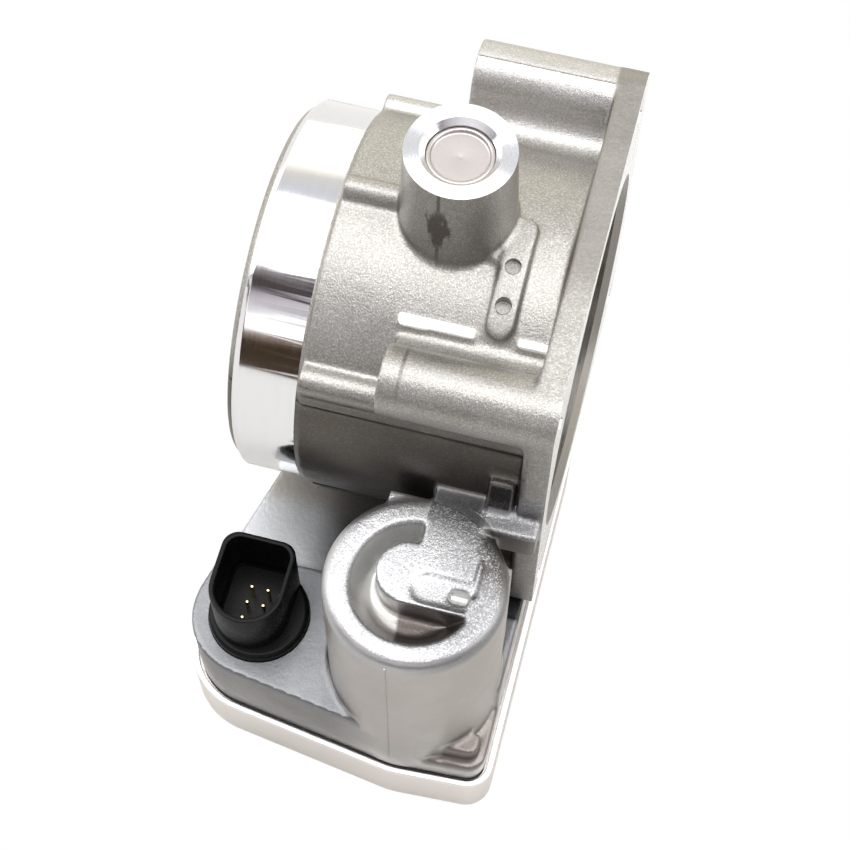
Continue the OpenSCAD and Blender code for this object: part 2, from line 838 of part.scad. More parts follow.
// Circuit board of the position sensor, on the cover's floor
module sensor_board() {
    low = cover_in_z + 0.4;
    top = low + 1.4;
    color(board_col) difference() {
        translate([0, 0, low]) linear_extrude(top - low) {
            translate(shaft_at) circle(17);
            translate([-shaft_x - 22, -27]) square([22, 41]);
        }
        post([-shaft_x - 18, 9], -90, -70, 1.6);
    }
    color(black_col) {
        post(shaft_at, top, top + 0.8, 3);
        block([-shaft_x - 19, -8, top], [-shaft_x - 12, -1, top + 1]);
    }
}

// Conductors from the connector's pins down to the cover and along it to the board
module lead_frame() {
    board_x = -shaft_x - 22;
    color(copper_col) {
        for (i = [0:2]) {
            p = pin_point(i, 0);
            z = cover_in_z + 0.3 + 0.7 * i;
            lead(p, z, -17 - 2.5 * i, board_x);
        }
        lead(pin_point(2, 1), cover_in_z + 0.3, -24.5, board_x);
    }
}

// One flat conductor: down from a pin, along +Y, then along +X to the board's edge
module lead(p, z, y_end, x_end) {
    block([p[0] - 0.6, p[1] - 0.25, z], [p[0] + 0.6, p[1] + 0.25, -50.1]);
    block([p[0] - 0.6, p[1] - 0.25, z], [p[0] + 0.6, y_end + 0.6, z + 0.4]);
    block([p[0] - 0.6, y_end - 0.6, z], [x_end - 0.1, y_end + 0.6, z + 0.4]);
}

// Two conductors from the connector to the motor
module motor_terminals() {
    x0 = pin_mid[0] + pin_pitch / 2 - 0.6;
    x1 = motor_x - 13.7;
    color(copper_col) for (y = terminal_y) {
        block([x0, y - 0.9, -64.9], [x1, y + 0.9, -64.1]);
        block([x1 - 1.6, y - 0.9, -64.2], [x1, y + 0.9, motor_low + 2]);
        block([x0, y - 0.3, -64.2], [x0 + 1.2, y + 0.3, -50.1]);
    }
}

// ---------------------------------------------------------------- connector

// Outline of the shroud: a half circle in front and a squared back
module shroud_section(r, back, corner = 4) {
    circle(r);
    translate([-r, 0]) square([2 * r, back - corner]);
    translate([-r + corner, 0]) square([2 * r - 2 * corner, back]);
    for (s = [-1, 1]) translate([s * (r - corner), back - corner]) circle(corner);
}

// Black shell with a round collar and a D-shaped shroud around the pins
module connector_shell() {
    color(black_col) difference() {
        union() {
            post(conn_at, deck_z - 2.1, collar_top - 1.2, collar_r);
            translate([conn_at[0], conn_at[1], collar_top - 1.2 - eps])
                cylinder(h = 1.2, r1 = collar_r, r2 = collar_r - 1.2);
            post(conn_at, -50, deck_z, 10.8);
            translate([shroud_at[0], shroud_at[1], collar_top - 1])
                linear_extrude(shroud_top - collar_top + 1) shroud_section(shroud_r, shroud_back);
        }
        translate([shroud_at[0], shroud_at[1], socket_floor]) linear_extrude(40)
            shroud_section(shroud_r - shroud_wall, shroud_back - shroud_wall, 3);
        for (i = [0:2], j = [0:1]) post(pin_point(i, j), -60, -30, pin_r);
        ring(conn_at, -48.3, -46.7, 12, 9.6);
    }
}

pin_r = 0.5;
function pin_point(i, j) = pin_mid + pin_pitch * [j - 0.5, i - 1];

// Six round pins in two columns
module connector_pins() {
    color(brass_col) for (i = [0:2], j = [0:1]) {
        post(pin_point(i, j), -50, pin_tip - 0.4, pin_r);
        translate([pin_point(i, j)[0], pin_point(i, j)[1], pin_tip - 0.4])
            cylinder(h = 0.4, r1 = pin_r, r2 = pin_r - 0.25);
    }
}

// Ring that seals the connector in the deck
module connector_seal() {
    color(rubber_col) translate([conn_at[0], conn_at[1], -47.5])
        rotate_extrude() translate([10.2, 0]) circle(0.6, $fn = 32);
}

// Steel pins that limit the sector gear's travel
module stop_pins() {
    color(steel_col) for (a = stop_at) post(stop_point(a), sector_z, ceiling_z - 0.5, stop_pin_r);
}

throttle_housing();
end_plug();
upper_bearing();
lower_bearing_outer();
lower_bearing_inner();
lower_bearing_balls();
shaft_seals();
throttle_shaft();
throttle_plate();
plate_screws();
return_spring();
sector_gear();
sector_insert();
sensor_magnets();
idler_gear();
idler_pin();
motor_pinion();
motor_can();
motor_end_cap();
motor_magnets();
motor_armature();
commutator();
motor_brushes();
motor_shaft();
motor_bushes();
wave_washer();
motor_bracket();
bracket_screws();
gear_cover();
cover_gasket();
sensor_board();
lead_frame();
motor_terminals();
connector_shell();
connector_pins();
connector_seal();
stop_pins();
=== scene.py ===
import json
import math

import bmesh
import bpy
import numpy as np
from mathutils import Matrix, Vector


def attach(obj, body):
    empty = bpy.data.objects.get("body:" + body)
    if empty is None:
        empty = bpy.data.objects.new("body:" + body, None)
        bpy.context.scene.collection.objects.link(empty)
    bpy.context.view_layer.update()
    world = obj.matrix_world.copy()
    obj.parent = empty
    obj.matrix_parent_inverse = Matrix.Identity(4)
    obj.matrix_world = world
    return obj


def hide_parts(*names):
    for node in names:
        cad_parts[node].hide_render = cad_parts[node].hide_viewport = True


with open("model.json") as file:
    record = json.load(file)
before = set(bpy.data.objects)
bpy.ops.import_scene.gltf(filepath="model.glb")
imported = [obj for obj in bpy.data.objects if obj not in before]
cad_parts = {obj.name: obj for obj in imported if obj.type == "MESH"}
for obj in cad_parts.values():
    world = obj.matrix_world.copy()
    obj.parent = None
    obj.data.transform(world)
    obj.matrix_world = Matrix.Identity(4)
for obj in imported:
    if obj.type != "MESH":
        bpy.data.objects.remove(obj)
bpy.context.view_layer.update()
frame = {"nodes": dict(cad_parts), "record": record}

MM = 0.001
NODES = frame["nodes"]
HOUSING = "housing"

# Sizes of the object in millimetres, as in the CAD source
BORE_R = 40.0
SPIGOT_R = 44.0
BODY_LEN = 74.7
CAST_LEN = 57.4
SHAFT_X = -32.0
BOSS_TOP = 68.2
BOSS_BORE_R = 7.3
BOLT = 40.0
BOLT_R = 3.3
BOLTS = [(-BOLT, -BOLT), (-BOLT, BOLT), (BOLT, -BOLT), (BOLT, BOLT)]
MOTOR = (-23.7, -68.0)
CAN_R = 20.5
CONN = (-63.0, -66.7)
SHROUD = (-64.2, -67.9)
PAD_X, PAD_MARKS, PAD_R = -17.5, (-10.7, -19.0), 47.8
COLLAR_R = 12.2
DECK_Z = -44.0
JOINT_Z = -66.0
COVER_Z = -85.2
CASE_RING = [(-6.7, -82.7, 4.5), (SHAFT_X, 2.0, 29.8), (-63.5, -66.6, 16.0), (MOTOR[0], MOTOR[1], 20.2)]
IDLER = (-36.784, -36.185)
POCKET_EDGE = 63.5

MAX_TRIANGLES = 190_000


# ---------------------------------------------------------------- mesh helpers

def new_object(name, verts, faces):
    """An object from points in millimetres."""
    mesh = bpy.data.meshes.new(name)
    mesh.from_pydata([(x * MM, y * MM, z * MM) for x, y, z in verts], [], faces)
    mesh.validate()
    obj = bpy.data.objects.new(name, mesh)
    bpy.context.scene.collection.objects.link(obj)
    return obj


def loft(name, rings, closed=False):
    """A closed solid through rings of equal length. The first and last ring are capped, unless the loft
    closes on itself."""
    n = len(rings[0])
    verts = [p for ring in rings for p in ring]
    faces = []
    count = len(rings)
    for i in range(count if closed else count - 1):
        a, b = i * n, (i + 1) % count * n
        faces += [(a + k, a + (k + 1) % n, b + (k + 1) % n, b + k) for k in range(n)]
    if not closed:
        faces.append(tuple(range(n - 1, -1, -1)))
        faces.append(tuple((count - 1) * n + k for k in range(n)))
    obj = new_object(name, verts, faces)
    fix_normals(obj)
    return obj


def fix_normals(obj):
    bm = bmesh.new()
    bm.from_mesh(obj.data)
    bmesh.ops.recalc_face_normals(bm, faces=bm.faces)
    bm.to_mesh(obj.data)
    bm.free()


def lathe(name, profile, at=(0, 0), axis="z", seg=128, closed=False):
    """A solid of revolution. profile is (radius, height); axis x puts heights along X."""
    rings = []
    for r, h in profile:
        r = max(r, 0.001)
        ring = []
        for k in range(seg):
            a = 2 * math.pi * k / seg
            c, s = r * math.cos(a), r * math.sin(a)
            ring.append((at[0] + c, at[1] + s, h) if axis == "z" else (h, at[0] + c, at[1] + s))
        rings.append(ring)
    return loft(name, rings, closed)


def band(grow=0.0, ring=CASE_RING, step=4.0):
    """Outline of a taut band around circles, each grown by the same amount."""
    def leave(a, b):
        return math.atan2(b[1] - a[1], b[0] - a[0]) - math.acos((a[2] - b[2]) / math.dist(a[:2], b[:2]))
    pts, n = [], len(ring)
    for i, here in enumerate(ring):
        a0 = leave(ring[i - 1], here)
        a1 = leave(here, ring[(i + 1) % n])
        while a1 < a0:
            a1 += 2 * math.pi
        k = max(1, math.ceil(math.degrees(a1 - a0) / step))
        r = here[2] + grow
        for j in range(k + 1):
            a = a0 + (a1 - a0) * j / k
            pts.append((here[0] + r * math.cos(a), here[1] + r * math.sin(a)))
    return pts


def at_height(points, z):
    return [(x, y, z) for x, y in points]


def arc(cx, cy, r, a0, a1, n):
    """Points of an arc, angles in degrees."""
    return [(cx + r * math.cos(math.radians(a0 + (a1 - a0) * k / n)),
             cy + r * math.sin(math.radians(a0 + (a1 - a0) * k / n))) for k in range(n + 1)]


def apply_modifier(obj, modifier):
    with bpy.context.temp_override(object=obj, active_object=obj, selected_objects=[obj]):
        bpy.ops.object.modifier_apply(modifier=modifier.name)


def boolean(obj, tool, operation="DIFFERENCE"):
    """Cuts or joins a tool into obj and removes the tool; the tool's material stays on the new faces."""
    m = obj.modifiers.new("cut", "BOOLEAN")
    m.solver = "MANIFOLD"
    m.operation = operation
    m.object = tool
    m.material_mode = "TRANSFER"
    apply_modifier(obj, m)
    bpy.data.objects.remove(tool)


def smooth_shade(obj, angle=32):
    obj.data.shade_smooth()
    obj.data.set_sharp_from_angle(angle=math.radians(angle))


def box(name, low, high):
    x0, y0, z0 = low
    x1, y1, z1 = high
    return loft(name, [[(x0, y0, z), (x1, y0, z), (x1, y1, z), (x0, y1, z)] for z in (z0, z1)])


# ---------------------------------------------------------------- material helpers

class Nodes:
    """Builds a material's node tree in short form. Positions are read in millimetres in the row frame."""

    def __init__(self, name):
        self.mat = bpy.data.materials.new(name)
        self.mat.use_nodes = True
        self.tree = self.mat.node_tree
        self.shader = self.tree.nodes["Principled BSDF"]
        coord = self.tree.nodes.new("ShaderNodeTexCoord")
        self.mm = self.vector("SCALE", coord.outputs["Object"], scale=1 / MM)
        self.split = None

    def link(self, value, socket):
        if isinstance(value, bpy.types.NodeSocket):
            self.tree.links.new(value, socket)
        elif value is not None:
            socket.default_value = value

    def math(self, op, a, b=None, c=None):
        n = self.tree.nodes.new("ShaderNodeMath")
        n.operation = op
        for value, socket in zip((a, b, c), n.inputs):
            self.link(value, socket)
        return n.outputs[0]

    def vector(self, op, a, b=None, scale=None):
        n = self.tree.nodes.new("ShaderNodeVectorMath")
        n.operation = op
        self.link(a, n.inputs[0])
        self.link(b, n.inputs[1])
        if scale is not None:
            self.link(scale, n.inputs["Scale"])
        return n.outputs["Value" if op in ("LENGTH", "DISTANCE", "DOT_PRODUCT") else "Vector"]

    def xyz(self):
        if self.split is None:
            n = self.tree.nodes.new("ShaderNodeSeparateXYZ")
            self.link(self.mm, n.inputs[0])
            self.split = n.outputs
        return self.split

    def join(self, x, y, z):
        n = self.tree.nodes.new("ShaderNodeCombineXYZ")
        for value, socket in zip((x, y, z), n.inputs):
            self.link(value, socket)
        return n.outputs[0]

    def noise(self, size, detail=2.0, rough=0.5, stretch=(1, 1, 1), where=None):
        """Noise whose cells are about size millimetres across."""
        n = self.tree.nodes.new("ShaderNodeTexNoise")
        v = self.vector("MULTIPLY", self.mm if where is None else where, stretch)
        self.link(v, n.inputs["Vector"])
        n.inputs["Scale"].default_value = 1 / size
        n.inputs["Detail"].default_value = detail
        n.inputs["Roughness"].default_value = rough
        return n.outputs["Fac"]

    def ramp(self, value, low, high, out_low=0.0, out_high=1.0):
        """A soft step from out_low at low to out_high at high."""
        n = self.tree.nodes.new("ShaderNodeMapRange")
        n.interpolation_type = "SMOOTHSTEP"
        for v, s in zip((value, low, high, out_low, out_high), n.inputs[:5]):
            self.link(v, s)
        return n.outputs[0]

    def mix(self, fac, a, b):
        n = self.tree.nodes.new("ShaderNodeMix")
        n.data_type = "RGBA"
        self.link(fac, n.inputs[0])
        self.link((*a, 1.0) if isinstance(a, tuple) else a, n.inputs[6])
        self.link((*b, 1.0) if isinstance(b, tuple) else b, n.inputs[7])
        return n.outputs[2]

    def bump(self, height, depth, before=None):
        """depth is in millimetres for a height of 1."""
        n = self.tree.nodes.new("ShaderNodeBump")
        n.inputs["Strength"].default_value = 1.0
        n.inputs["Distance"].default_value = depth * MM
        self.link(height, n.inputs["Height"])
        if before is not None:
            self.link(before, n.inputs["Normal"])
        return n.outputs[0]

    def surface(self, **sockets):
        names = dict(color="Base Color", metallic="Metallic", roughness="Roughness", normal="Normal",
                     specular="Specular IOR Level", anisotropic="Anisotropic", tangent="Tangent")
        for key, value in sockets.items():
            if isinstance(value, tuple) and len(value) == 3:
                value = (*value, 1.0)
            self.link(value, self.shader.inputs[names[key]])
        return self.mat


def cast_material():
    """Shot-blasted cast aluminium. The tone changes from place to place: painted shade darkens the barrel
    low on its front and the deck, the can is paler, the can's recess is brown and the shaft boss has a stain.
    Painted shade also lies on the webs, the tab, the shelf, the faces of each corner ledge and the back of
    the flange, painted light on the rear bolt boss and a painted highlight on the top of each small pad. Each
    zone is a mask from 0 to 1, made of positions in millimetres."""
    m = Nodes("cast_aluminium")
    x, y, z = m.xyz()

    def both(*zones):
        """The part that all the zones share."""
        total = zones[0]
        for zone in zones[1:]:
            total = m.math("MULTIPLY", total, zone)
        return total

    def either(*zones):
        """The zones together."""
        total = zones[0]
        for zone in zones[1:]:
            total = m.math("MAXIMUM", total, zone)
        return total

    def span(value, low, high, soft=0.5):
        """1 between low and high, 0 outside."""
        return both(m.ramp(value, low - soft, low), m.ramp(value, high + soft, high))

    def paint(under, zone, tone, strength=1.0):
        """Lays a tone over what is under it, inside the zone."""
        if strength < 1.0:
            zone = m.math("MULTIPLY", zone, strength)
        return m.mix(zone, under, tone)

    grain = m.noise(0.40, 2.0, 0.7)
    pits = m.noise(1.2, 2.0, 0.5)
    cloud = m.noise(12.0, 3.0, 0.6)
    drift = m.math("MULTIPLY_ADD", m.noise(9.0, 3.0, 0.6), 8.0, -4.0)
    # degrees round the bore, from straight up towards the front
    round_bore = m.math("MULTIPLY", m.math("ARCTAN2", m.math("MULTIPLY", y, -1.0), z), 180 / math.pi)
    motor_xy = m.join(m.math("ADD", x, -MOTOR[0]), m.math("ADD", y, -MOTOR[1]), 0.0)
    from_motor = m.vector("LENGTH", motor_xy)
    on_barrel = both(m.ramp(y, -49.5, -47.9), m.ramp(x, -4.5, -6.0), m.ramp(z, -38.0, -34.0))
    under_boss = m.ramp(z, 16.0, 13.5)
    at_can = both(m.ramp(y, -44.0, -48.0), under_boss)

    color = m.mix(cloud, (0.30, 0.285, 0.265), (0.38, 0.37, 0.355))

    # painted shade low on the barrel's front, and painted shade lines along the pocket's edge and at its end
    low_front_shade = both(on_barrel, m.ramp(m.math("ADD", round_bore, drift), 49.0, 68.0))
    color = paint(color, low_front_shade, (0.055, 0.045, 0.036), 0.8)
    edge = both(on_barrel, span(round_bore, POCKET_EDGE - 0.25, POCKET_EDGE + 0.35, 0.35))
    pocket_end_shade = both(on_barrel, span(x, -7.0, -6.2, 0.4), span(round_bore, POCKET_EDGE, 95.0))
    color = paint(color, either(edge, pocket_end_shade), (0.02, 0.016, 0.013), 0.8)

    # deck beside the connector: painted shade makes it darker towards the can, plain under the barrel
    left = m.ramp(x, -39.0, -45.0)
    case_top = m.ramp(m.math("MULTIPLY_ADD", left, 0.8, m.ramp(z, -55.0, -48.0)), 0.3, 0.8)
    deck = both(m.ramp(z, -40.0, -43.0), case_top)
    deck_tone_and_shade = m.mix(m.ramp(x, -46.0, -60.0), (0.050, 0.053, 0.057), (0.42, 0.43, 0.445))
    deck_tone_and_shade = paint(deck_tone_and_shade, m.ramp(y, -38.0, -30.0), (0.30, 0.285, 0.265))
    deck_tone_and_shade = paint(deck_tone_and_shade, m.ramp(y, -50.0, -54.0), (0.19, 0.195, 0.205))
    color = paint(color, deck, deck_tone_and_shade)

    # wall of the gear case, and painted shade on the faces of each ledge in its corner
    wall = m.mix(m.ramp(x, -24.0, -42.0), (0.40, 0.385, 0.37), (0.20, 0.193, 0.188))
    below_deck = either(m.ramp(z, -48.6, -50.0), m.ramp(y, -52.0, -54.0))
    low_wall = both(m.ramp(z, -45.5, -48.5), below_deck)
    color = paint(color, low_wall, wall)
    ledge_shade = both(m.ramp(x, -18.0, -16.5), m.ramp(y, -69.0, -71.0), m.ramp(from_motor, 20.6, 21.2),
                  m.ramp(z, -44.0, -50.0), m.ramp(z, -61.5, -59.5))
    color = paint(color, ledge_shade, (0.20, 0.18, 0.17))

    # can: satin side, and a blasted top that is shaded towards the flange
    side = both(at_can, m.ramp(z, -48.8, -47.8), span(from_motor, 19.0, 20.8, 0.3))
    color = paint(color, side, (0.42, 0.395, 0.375))
    can_top = both(m.ramp(z, -0.5, 3.0), at_can)
    color = paint(color, can_top, m.mix(m.ramp(x, -24.0, -8.0), (0.44, 0.44, 0.45), (0.26, 0.26, 0.27)))
    shade = both(can_top, m.ramp(from_motor, 13.5, 15.5), m.ramp(from_motor, 21.0, 20.2),
                 m.ramp(x, -15.0, -10.0), m.ramp(y, -70.0, -61.0))
    color = paint(color, shade, (0.08, 0.075, 0.07), 0.85)

    # painted shade on the webs, tab and shelf between the can, the barrel and the flange
    bridge_shade = both(at_can, m.ramp(z, 2.0, 3.5), span(x, -24.6, -12.6), m.ramp(y, -57.5, -51.0))
    color = paint(color, bridge_shade, (0.07, 0.072, 0.075), 0.8)
    tab = both(span(x, -12.3, -8.0, 0.4), m.ramp(y, -43.0, -44.0), span(z, 7.0, 12.3, 0.5))
    color = paint(color, tab, (0.03, 0.028, 0.027), 0.9)
    shelf = both(under_boss, m.ramp(x, -12.8, -12.0), span(y, -53.2, -52.4, 0.3),
                 m.ramp(z, 4.9, 4.2), m.ramp(z, -20.0, -4.0))
    color = paint(color, shelf, (0.05, 0.038, 0.03), 0.6)

    # recess in the can's top: grey behind, brown in front, darker to the right of the mould seam
    recess = both(at_can, m.ramp(from_motor, 15.3, 14.6), span(z, -4.0, 3.7))
    seam = m.math("ADD", x, m.math("MULTIPLY", y, 0.15))
    brown = m.mix(m.ramp(seam, -37.6, -36.6), (0.43, 0.41, 0.395), (0.125, 0.107, 0.10))
    color = paint(color, recess, m.mix(m.ramp(y, -71.0, -75.0), (0.58, 0.58, 0.57), brown))

    # painted highlight on the flat top of each small pad beside the front boss
    beside_rest_pad = m.math("SUBTRACT", 1.0, span(x, -22.0, -13.0))
    pad_top_highlight = both(span(z, 38.85, 39.6, 0.2), span(y, -26.5, -23.6, 0.3), m.ramp(x, -39.0, -38.3),
                beside_rest_pad)
    color = paint(color, pad_top_highlight, (0.9, 0.9, 0.91), 0.7)

    # painted shade on the back of the flange, and painted light on the rear bolt boss
    rim = both(m.ramp(x, -7.0, -5.8), m.ramp(y, -20.0, -6.0), m.ramp(z, 30.0, 40.0))
    color = paint(color, rim, (0.17, 0.155, 0.14), 0.5)
    rear = both(m.ramp(y, 26.0, 33.0), m.ramp(x, -6.0, -7.0), m.ramp(z, 30.0, 34.0))
    color = paint(color, rear, (0.52, 0.505, 0.50), 0.6)

    # light and dark specks of the blasted grain, strongest on the can's top
    smooth = either(deck, side, low_wall, low_front_shade, rim, recess, shelf)
    sparkle = both(m.math("MULTIPLY_ADD", can_top, 0.12, 0.22), m.math("MULTIPLY_ADD", smooth, -0.8, 1.0))
    color = paint(color, both(m.ramp(grain, 0.50, 0.66), sparkle), (0.95, 0.94, 0.92))
    color = paint(color, both(m.ramp(grain, 0.48, 0.34), sparkle), (0.06, 0.055, 0.05))

    # stain that ran down the front of the shaft boss
    across = m.math("ABSOLUTE", m.math("ADD", x, 33.6))
    ragged = m.math("MULTIPLY", m.noise(1.5, 3.0, 0.65, stretch=(1, 1, 0.4)), 6.0)
    waist = m.math("MULTIPLY", m.math("ABSOLUTE", m.math("ADD", z, -56.5)), 0.25)
    spread = m.math("ADD", m.math("ADD", across, ragged), waist)
    front = m.ramp(y, -9.0, -10.5)
    stain = both(m.ramp(spread, 6.4, 4.9), m.ramp(z, 48.0, 52.0), m.ramp(z, 64.0, 61.0), front)
    streak = both(m.ramp(across, 0.55, 0.25), m.ramp(z, 42.0, 50.0), front)
    color = paint(color, either(stain, m.math("MULTIPLY", streak, 0.8)), (0.05, 0.035, 0.03), 0.75)

    relief = both(grain, m.math("MULTIPLY_ADD", smooth, -0.6, 1.0))
    normal = m.bump(pits, 0.05, before=m.bump(relief, 0.09))
    return m.surface(color=color, metallic=1.0, roughness=m.ramp(cloud, 0.3, 0.7, 0.36, 0.46), normal=normal)


def turned_material(name, axis, color, rough, depth=0.006, brushed=0.0):
    """Bright metal from a lathe, with fine rings around the X or Z axis."""
    m = Nodes(name)
    x, y, z = m.xyz()
    if axis == "x":
        a, b, height = y, z, x
    else:
        a, b, height = m.math("ADD", x, -SHAFT_X), y, z
    around = m.math("ARCTAN2", a, b)
    along = m.math("ADD", height, m.vector("LENGTH", m.join(a, b, 0.0)))
    outward = m.vector("NORMALIZE", m.join(0.0, a, b) if axis == "x" else m.join(a, b, 0.0))
    fine = m.noise(0.22, 2.0, 0.6, where=m.join(along, m.math("MULTIPLY", around, 1.2), 0.0))
    broad = m.noise(1.6, 2.0, 0.6, where=m.join(along, m.math("MULTIPLY", around, 4.0), 0.0))
    tint = m.mix(broad, color, tuple(c * 0.93 for c in color))
    if brushed:
        m.surface(anisotropic=brushed, tangent=outward)
    return m.surface(color=tint, metallic=1.0, roughness=m.ramp(fine, 0.3, 0.7, rough * 0.8, rough * 1.3),
                     normal=m.bump(fine, depth))


def faced_material():
    """Flat faces from a cutter: faint arcs over a bright satin surface."""
    m = Nodes("faced_aluminium")
    _, y, z = m.xyz()
    radius = m.math("SQRT", m.math("ADD", m.math("MULTIPLY", y, y), m.math("MULTIPLY", z, z)))
    arcs = m.noise(0.35, 2.0, 0.5, where=m.join(radius, 0.0, 0.0))
    return m.surface(color=(0.83, 0.83, 0.83), metallic=1.0, roughness=m.ramp(arcs, 0.3, 0.7, 0.2, 0.32),
                     normal=m.bump(arcs, 0.006))


def pressed_material():
    """Drawn and pressed sheet of the end plug: satin with a slight grain."""
    m = Nodes("pressed_aluminium")
    grain = m.noise(0.6, 3.0, 0.6)
    tint = m.mix(grain, (0.47, 0.44, 0.43), (0.40, 0.375, 0.365))
    return m.surface(color=tint, metallic=1.0, roughness=0.38, normal=m.bump(grain, 0.015))


def plastic_material(name, color, rough, grain_size=0.5, depth=0.01, specular=0.5):
    """Moulded plastic, rubber or another dull material with a fine grain."""
    m = Nodes(name)
    grain = m.noise(grain_size, 2.0, 0.5)
    tint = m.mix(m.noise(9.0), color, tuple(min(1, c * 1.35 + 0.004) for c in color))
    return m.surface(color=tint, metallic=0.0, roughness=m.ramp(grain, 0.3, 0.7, rough * 0.8, rough * 1.2),
                     normal=m.bump(grain, depth), specular=specular)


def metal_material(name, color, rough, grain_size=0.4, depth=0.01, stretch=(1, 1, 1)):
    """Plain metal with a fine grain; stretch draws the grain out."""
    m = Nodes(name)
    grain = m.noise(grain_size, 3.0, 0.6, stretch=stretch)
    tint = m.mix(grain, color, tuple(c * 0.82 for c in color))
    return m.surface(color=tint, metallic=1.0, roughness=m.ramp(grain, 0.3, 0.7, rough * 0.75, rough * 1.25),
                     normal=m.bump(grain, depth))


CAST = cast_material()
TURNED_X = turned_material("turned_aluminium", "x", color=(0.81, 0.81, 0.82), rough=0.1, depth=0.004)
BORE = turned_material("bore_wall", "x", color=(0.26, 0.245, 0.23), rough=0.32)
TURNED_Z = turned_material("turned_boss", "z", color=(0.88, 0.89, 0.92), rough=0.25, depth=0.002, brushed=1.0)
BOSS_BORE = turned_material("boss_bore", "z", color=(0.72, 0.72, 0.73), rough=0.2, depth=0.003)
FACED = faced_material()
PRESSED = pressed_material()


def dress(tool, material):
    tool.data.materials.clear()
    tool.data.materials.append(material)
    return tool


# ---------------------------------------------------------------- casting

def cad_copy(node, name):
    """A welded copy of a CAD node's mesh as a new object."""
    mesh = NODES[node].data.copy()
    mesh.name = name
    obj = bpy.data.objects.new(name, mesh)
    bpy.context.scene.collection.objects.link(obj)
    bm = bmesh.new()
    bm.from_mesh(mesh)
    bmesh.ops.remove_doubles(bm, verts=bm.verts, dist=2e-7)
    bm.to_mesh(mesh)
    bm.free()
    return obj


def coords(mesh):
    co = np.empty(len(mesh.vertices) * 3)
    mesh.vertices.foreach_get("co", co)
    return co.reshape(-1, 3)


def set_coords(mesh, co):
    mesh.vertices.foreach_set("co", co.ravel())
    mesh.update()


def leave_stock(co):
    """Moves the machined surfaces of the casting, in millimetres, by the stock that is cut off later."""
    stock, near = 1.2, 0.02
    across_x, across_z = (1, 2), (0, 1)
    x, z = co[:, 0].copy(), co[:, 2].copy()
    everywhere = np.ones(len(co), bool)
    on_boss = z > 45

    def shrink(center, r, zone, axes):
        """Pulls in the points of a round wall."""
        distance = np.hypot(*(co[:, axis] - c for axis, c in zip(axes, center)))
        hit = zone & (np.abs(distance - r) < near)
        for axis, c in zip(axes, center):
            co[hit, axis] = c + (co[hit, axis] - c) * (r - stock) / r

    shrink((0, 0), BORE_R, everywhere, across_x)
    shrink((0, 0), SPIGOT_R, x < -CAST_LEN - 1, across_x)
    for bolt in BOLTS:
        shrink(bolt, BOLT_R, everywhere, across_x)
    shrink((SHAFT_X, 0), BOSS_BORE_R, on_boss, across_z)
    shrink((SHAFT_X, 0), BOSS_BORE_R + 1.2, on_boss, across_z)
    shrink(CONN, COLLAR_R + 0.15, z > -50, across_z)
    co[x > -0.01, 0] = stock
    co[z > BOSS_TOP - 0.01, 2] = BOSS_TOP + stock
    return co


def relax(mesh, rounds=6, factor=0.5):
    """Rounds the edges of a dense mesh by moving each point towards its neighbours' mean."""
    co = coords(mesh)
    edges = np.empty(len(mesh.edges) * 2, np.int64)
    mesh.edges.foreach_get("vertices", edges)
    a, b = edges.reshape(-1, 2).T
    n = np.bincount(a, minlength=len(co)) + np.bincount(b, minlength=len(co))
    for _ in range(rounds):
        total = np.zeros_like(co)
        for k in range(3):
            total[:, k] = np.bincount(a, co[b, k], len(co)) + np.bincount(b, co[a, k], len(co))
        co += factor * (total / n[:, None] - co)
    set_coords(mesh, co)


